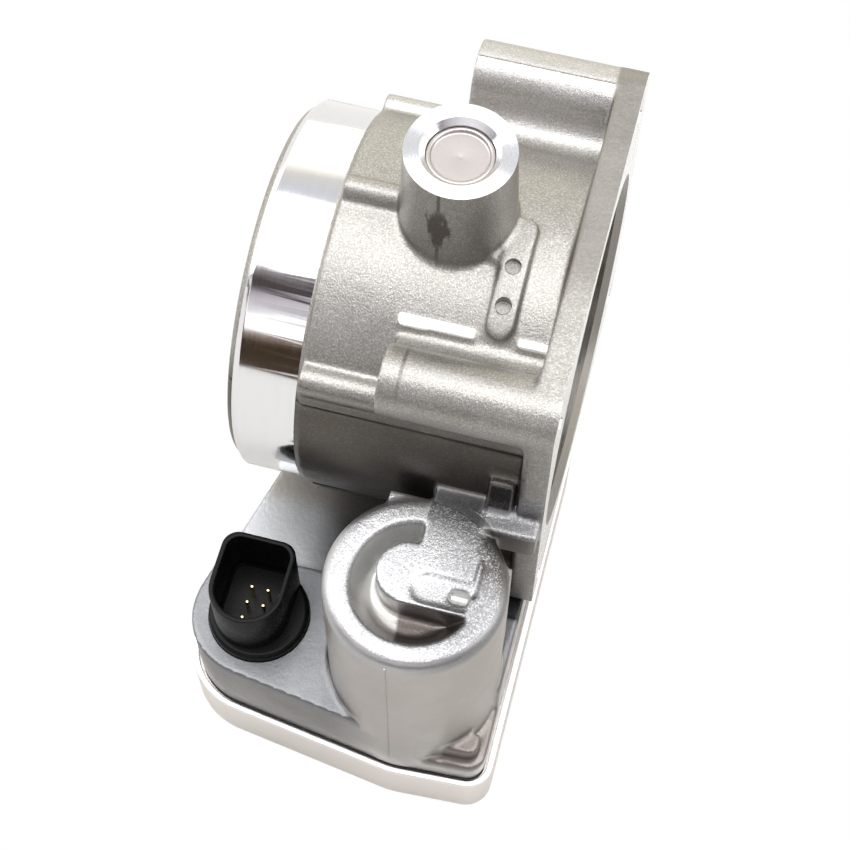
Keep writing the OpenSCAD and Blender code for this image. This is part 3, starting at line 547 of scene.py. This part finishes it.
def make_casting():
    """The casting as a dense mesh with rounded cast edges, with its machined faces cut into it afterwards."""
    obj = cad_copy("throttle_housing", "casting")
    mesh = obj.data
    set_coords(mesh, leave_stock(coords(mesh) / MM) * MM)
    mesh.materials.clear()
    mesh.materials.append(CAST)
    remesh = obj.modifiers.new("remesh", "REMESH")
    remesh.mode = "VOXEL"
    remesh.voxel_size = 0.5 * MM
    apply_modifier(obj, remesh)
    relax(obj.data)

    def cut(tool, material, operation="DIFFERENCE"):
        boolean(obj, dress(tool, material), operation)

    # machined spigot, flange face, bore and bolt holes
    spigot = [(0, -BODY_LEN), (40.6, -BODY_LEN), (41.0, 0.35 - BODY_LEN), (SPIGOT_R - 0.15, 2.85 - BODY_LEN),
              (SPIGOT_R, 3.2 - BODY_LEN), (SPIGOT_R, -CAST_LEN + 5), (0, -CAST_LEN + 5)]
    cut(lathe("tool", spigot, axis="x", seg=256), TURNED_X, "UNION")
    cut(box("tool", (0, -60, -60), (5, 60, 60)), FACED)
    bore = [(0, -80), (BORE_R, -80), (BORE_R, -1.8), (BORE_R + 1.8, 0.0), (BORE_R + 3.8, 2), (0, 2)]
    cut(lathe("tool", bore, axis="x", seg=256), BORE)
    for bolt in BOLTS:
        hole = [(0, -45), (BOLT_R, -45), (BOLT_R, -0.6), (BOLT_R + 1, 0.4), (0, 0.4)]
        cut(lathe("tool", hole, bolt, "x", 48), TURNED_X)
    # top and bore of the shaft boss, and the seat of the connector
    cut(box("tool", (SHAFT_X - 15, -15, BOSS_TOP), (SHAFT_X + 15, 15, BOSS_TOP + 4)), TURNED_Z)
    boss_bore = [(0, 50), (BOSS_BORE_R, 50), (BOSS_BORE_R, BOSS_TOP - 1.2), (BOSS_BORE_R + 1.2, BOSS_TOP),
                 (BOSS_BORE_R + 2.2, BOSS_TOP + 1), (0, BOSS_TOP + 1)]
    cut(lathe("tool", boss_bore, (SHAFT_X, 0)), BOSS_BORE)
    seat_r, seat_z = COLLAR_R + 0.2, DECK_Z - 2.2
    seat = [(0, seat_z), (seat_r, seat_z), (seat_r, DECK_Z + 3), (0, DECK_Z + 3)]
    cut(lathe("tool", seat, CONN), CAST)
    # round marks in the rest pad: a flat floor with a groove at its edge
    for y in PAD_MARKS:
        low = math.sqrt(PAD_R ** 2 - (abs(y) + 1.75) ** 2) - 0.5
        mark = [(0, low), (1.3, low), (1.3, low + 0.2), (1.45, low + 0.2), (1.45, low), (1.8, low),
                (1.9, low + 6), (0, low + 6)]
        cut(lathe("tool", mark, (PAD_X, y), seg=40), CAST)
    # mould seams on the can and on the rear bolt boss
    can_front = MOTOR[1] - CAN_R
    cut(box("tool", (-25.2, can_front - 0.1, -61), (-24.85, can_front + 2, 2.5)), CAST, "UNION")
    cut(box("tool", (-37.6, BOLT + 0.35, 46), (-6.5, BOLT + 0.7, 47.75)), CAST, "UNION")
    # groove above the cover's lip
    corners = ((3, -68.5), (3, JOINT_Z + 0.4), (-0.45, JOINT_Z + 0.4), (-0.45, -68.5))
    cut(loft("tool", [at_height(band(grow), z) for grow, z in corners], closed=True), FACED)
    obj.data.calc_loop_triangles()
    thin = obj.modifiers.new("thin", "DECIMATE")
    thin.ratio = min(1.0, MAX_TRIANGLES / len(obj.data.loop_triangles))
    apply_modifier(obj, thin)
    smooth_shade(obj, 38)
    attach(obj, HOUSING)
    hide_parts("throttle_housing")


make_casting()


# ---------------------------------------------------------------- cover

def cover_material():
    """Cast cover: pale satin wall, with a painted highlight along the top of the lip."""
    m = Nodes("cover_aluminium")
    z = m.xyz()[2]
    grain = m.noise(0.5, 2.0, 0.6)
    cloud = m.noise(18.0, 3.0, 0.6)
    wall = m.mix(cloud, (0.74, 0.70, 0.665), (0.84, 0.80, 0.765))
    color = m.mix(m.ramp(z, JOINT_Z - 1.1, JOINT_Z - 0.6), wall, (0.9, 0.9, 0.9))
    return m.surface(color=color, metallic=1.0, roughness=m.ramp(cloud, 0.3, 0.7, 0.30, 0.40),
                     normal=m.bump(grain, 0.03))


def make_cover():
    """A pan whose lip stands around the foot of the gear case. Widths count out from the case's edge."""
    lip, gap, wall, round_r = 2.0, 0.5, -1.2, 4.0
    ledge_z, inner_floor = -68.3, COVER_Z + 2.2
    edge = [(lip - round_r + dx, COVER_Z + round_r + dz) for dx, dz in arc(0, 0, round_r, -90, 0, 10)]
    top = [(lip - 0.5 + dx, JOINT_Z - 0.5 + dz) for dx, dz in arc(0, 0, 0.5, 0, 90, 4)]
    inside = [(gap + 0.25, JOINT_Z), (gap, JOINT_Z - 0.25), (gap, ledge_z), (wall, ledge_z),
              (wall, inner_floor)]
    obj = loft("cover_pan", [at_height(band(g), z) for g, z in edge + top + inside])
    pin_r, post_r, post_top = 3.0, 5.0, -80.6
    post = [(pin_r, -83.8), (post_r, -83.5), (post_r, post_top), (pin_r, post_top)]
    boolean(obj, lathe("tool", post, IDLER, seg=64, closed=True), "UNION")
    dress(obj, cover_material())
    smooth_shade(obj, 40)
    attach(obj, HOUSING)
    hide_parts("gear_cover")


make_cover()

# ---------------------------------------------------------------- connector

BLACK = plastic_material("black_plastic", (0.0015, 0.0015, 0.0018), 0.30, 0.35, 0.006, specular=0.12)


def shroud_outline(r, back, corner):
    """Half circle in front, squared back with rounded corners."""
    pts = arc(0, 0, r, 180, 360, 32)
    pts += arc(r - corner, back - corner, corner, 0, 90, 8)
    pts += arc(-r + corner, back - corner, corner, 90, 180, 8)
    return [(SHROUD[0] + px, SHROUD[1] + py) for px, py in pts]


def shroud_rings(rings):
    """The shroud's outline at each height, grown or shrunk."""
    r, back, corner = 9.0, 13.2, 4.0
    return [at_height(shroud_outline(r + g, back + g, corner + g * 0.6), z) for g, z in rings]


def make_connector():
    """The black shell: a D-shaped shroud with a rounded rim on a round collar."""
    wall, top, floor = 1.3, -24.4, -40.0
    rim = 0.45
    collar_top = -41.3
    rings = [(0, -46.05), (0, top - rim), (-rim * 0.3, top - rim * 0.3), (-rim, top), (-wall + rim, top),
             (-wall + rim * 0.3, top - rim * 0.3), (-wall, top - rim), (-wall - 0.15, floor + 0.6),
             (-wall - 0.75, floor)]
    obj = loft("connector_body", shroud_rings(rings))
    foot_r, foot_z, round_r = 10.8, DECK_Z - 2.1, 1.2
    collar = [(0, -50), (foot_r, -50), (foot_r, foot_z), (COLLAR_R, foot_z), (COLLAR_R, collar_top - round_r)]
    collar += arc(COLLAR_R - round_r, collar_top - round_r, round_r, 20, 90, 6) + [(0, collar_top)]
    boolean(obj, lathe("tool", collar, CONN), "UNION")
    inner = [(-wall - 0.75, floor), (-wall - 0.15, floor + 0.6), (-wall - 0.02, top - 1)]
    boolean(obj, loft("tool", shroud_rings(inner)))
    dress(obj, BLACK)
    smooth_shade(obj, 35)
    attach(obj, HOUSING)
    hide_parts("connector_shell")


make_connector()


def make_pins():
    """Six round-tipped contacts in two rows of three."""
    pin_r, tip, pitch = 0.5, -33.5, 4
    profile = [(0, -50), (pin_r, -50), (pin_r, tip - 0.7)]
    profile += arc(pin_r - 0.3, tip - 0.45, 0.3, 20, 90, 4) + [(0, tip - 0.12)]
    pins = None
    for i in range(3):
        for j in range(2):
            pin = lathe("pin", profile, (-62.9 + pitch * (j - 0.5), -68.0 + pitch * (i - 1)), seg=24)
            if pins is None:
                pins = pin
            else:
                boolean(pins, pin, "UNION")
    pins.name = "contact_pins"
    dress(pins, metal_material("pin_gold", (0.95, 0.78, 0.42), 0.16))
    smooth_shade(pins, 40)
    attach(pins, HOUSING)
    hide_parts("connector_pins")


make_pins()

# ---------------------------------------------------------------- plug

def make_plug():
    """A pressed cup, open below, with a sunk disc inside its bead and a faint centre mark."""
    top, under, rim_z = BOSS_TOP - 1.5, 64.6, 62.6
    r = BOSS_BORE_R
    profile = [(0, under), (r - 1, under), (r - 1, rim_z), (r - 0.02, rim_z), (r - 0.02, top - 0.3),
               (r - 0.3, top), (r - 0.85, top), (r - 1.1, top - 0.25), (r - 1.1, top - 0.55),
               (r - 1.25, top - 0.7), (r - 1.45, top - 0.75), (r - 1.6, top - 0.75), (0.9, top - 0.75),
               (0.55, top - 0.77), (0, top - 0.80)]
    obj = lathe("boss_plug", profile, (SHAFT_X, 0))
    dress(obj, PRESSED)
    smooth_shade(obj, 50)
    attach(obj, HOUSING)
    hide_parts("end_plug")


make_plug()

# ---------------------------------------------------------------- inner parts keep their CAD shape

LOOKS = {
    "steel": metal_material("ground_steel", (0.60, 0.61, 0.63), 0.24, 0.3, 0.006),
    "brass": metal_material("brass", (0.82, 0.64, 0.32), 0.28, 0.5, 0.01),
    "turned_aluminium": TURNED_Z,
    "rubber": plastic_material("rubber", (0.02, 0.02, 0.02), 0.62, 0.6, 0.02),
    "nylon": plastic_material("nylon", (0.05, 0.045, 0.04), 0.45, 0.4, 0.02),
    "ferrite": plastic_material("ferrite", (0.07, 0.07, 0.075), 0.6, 0.3, 0.03),
    "copper": metal_material("copper", (0.80, 0.42, 0.26), 0.3, 0.5, 0.02),
    "board": plastic_material("board", (0.02, 0.14, 0.06), 0.35, 1.2, 0.02),
    "cast_aluminium": CAST,
    "black_plastic": BLACK,
    "gold_pin": metal_material("plated", (0.95, 0.78, 0.42), 0.2),
}
for part in frame["record"]["subparts"]:
    material = LOOKS[part["material_slot"]]
    if part["node"] == "throttle_plate":
        material = metal_material("plate_brass", (0.80, 0.66, 0.40), 0.26, 0.3, 0.008, (1, 0.1, 0.1))
    mesh = NODES[part["node"]].data
    mesh.materials.clear()
    mesh.materials.append(material)

# ---------------------------------------------------------------- stage, light and camera

def seen_by_camera(tree):
    return tree.nodes.new("ShaderNodeLightPath").outputs["Is Camera Ray"]


def make_floor():
    """Pale paper that takes the object's shade in its reflections and is plain white behind it."""
    far = 4000
    corners = [(-far, -far, 0), (far, -far, 0), (far, far, 0), (-far, far, 0)]
    obj = new_object("floor", corners, [(0, 1, 2, 3)])
    obj.location.z = (COVER_Z - 0.05) * MM
    m = Nodes("floor_paper")
    m.surface(color=(0.5, 0.495, 0.485), roughness=0.9, specular=0.0)
    white = m.tree.nodes.new("ShaderNodeEmission")
    blend = m.tree.nodes.new("ShaderNodeMixShader")
    m.link(seen_by_camera(m.tree), blend.inputs[0])
    m.link(m.shader.outputs[0], blend.inputs[1])
    m.link(white.outputs[0], blend.inputs[2])
    m.link(blend.outputs[0], m.tree.nodes["Material Output"].inputs[0])
    dress(obj, m.mat)


make_floor()


def make_world():
    """Soft studio light: white panels overhead and in front with dark gaps between, in bands parallel to the
    bore."""
    world = bpy.data.worlds.new("studio")
    bpy.context.scene.world = world
    world.use_nodes = True
    t = world.node_tree
    background = t.nodes["Background"]
    coord = t.nodes.new("ShaderNodeTexCoord")
    split = t.nodes.new("ShaderNodeSeparateXYZ")
    t.links.new(coord.outputs["Generated"], split.inputs[0])
    back = t.nodes.new("ShaderNodeMath")
    back.operation = "MULTIPLY"
    back.inputs[1].default_value = -1.0
    t.links.new(split.outputs[1], back.inputs[0])
    angle = t.nodes.new("ShaderNodeMath")
    angle.operation = "ARCTAN2"
    t.links.new(back.outputs[0], angle.inputs[0])
    t.links.new(split.outputs[2], angle.inputs[1])
    unit = t.nodes.new("ShaderNodeMath")
    unit.operation = "MULTIPLY_ADD"
    unit.inputs[1].default_value = 1 / (2 * math.pi)
    unit.inputs[2].default_value = 0.5
    t.links.new(angle.outputs[0], unit.inputs[0])
    ramp = t.nodes.new("ShaderNodeValToRGB")
    t.links.new(unit.outputs[0], ramp.inputs[0])
    behind = t.nodes.new("ShaderNodeMix")
    behind.data_type = "RGBA"
    behind.inputs[7].default_value = (1, 1, 1, 1)
    t.links.new(seen_by_camera(t), behind.inputs[0])
    t.links.new(ramp.outputs[0], behind.inputs[6])
    t.links.new(behind.outputs[2], background.inputs[0])
    background.inputs[1].default_value = 1.0
    # angle from straight up towards the front, in degrees, and the light that comes from there
    bands = [
        (-180, (0.5, 0.5, 0.5)), (-98, (1.7, 1.66, 1.45)), (-88, (1.7, 1.66, 1.42)), (-54, (1.7, 1.66, 1.48)),
        (-43, (0.85, 0.82, 0.78)), (-32, (0.76, 0.77, 0.82)), (-28, (0.8, 0.8, 0.84)),
        (-25, (3.9, 3.9, 3.9)), (20, (3.9, 3.9, 3.9)),
        (23, (0.4, 0.36, 0.38)), (31, (0.06, 0.045, 0.045)), (37, (0.07, 0.055, 0.055)),
        (42, (0.58, 0.52, 0.57)), (54, (0.95, 0.93, 0.96)), (58, (1.8, 1.8, 1.8)), (64, (1.8, 1.8, 1.8)),
        (67, (0.36, 0.27, 0.22)), (73, (0.05, 0.03, 0.015)), (86, (0.06, 0.04, 0.025)),
        (180, (0.3, 0.3, 0.3)),
    ]
    ramp.color_ramp.elements[0].position = 0.0
    while len(ramp.color_ramp.elements) < len(bands):
        ramp.color_ramp.elements.new(0.5)
    for element, (degrees, _) in zip(ramp.color_ramp.elements, bands):
        element.position = degrees / 360 + 0.5
    for element, (_, rgb) in zip(ramp.color_ramp.elements, bands):
        element.color = (*rgb, 1.0)


make_world()


def make_camera():
    """A long lens that looks down on the front of the throttle body."""
    azimuth, elevation, roll = math.radians(14.34), math.radians(62.95), math.radians(0.41)
    level = math.cos(elevation)
    back = Vector((math.sin(azimuth) * level, -math.cos(azimuth) * level, math.sin(elevation)))
    right = Vector((math.cos(azimuth), math.sin(azimuth), 0))
    up = back.cross(right)
    right, up = (math.cos(roll) * right + math.sin(roll) * up,
                 math.cos(roll) * up - math.sin(roll) * right)
    data = bpy.data.cameras.new("camera")
    data.lens = 80.58
    data.sensor_width = 36
    data.clip_start, data.clip_end = 0.01, 20
    cam = bpy.data.objects.new("camera", data)
    cam.matrix_world = Matrix((right, up, back)).transposed().to_4x4()
    cam.location = (0.01716, -0.21996, 0.38691)
    bpy.context.scene.collection.objects.link(cam)
    bpy.context.scene.camera = cam


make_camera()
bpy.context.scene.view_settings.view_transform = "Standard"
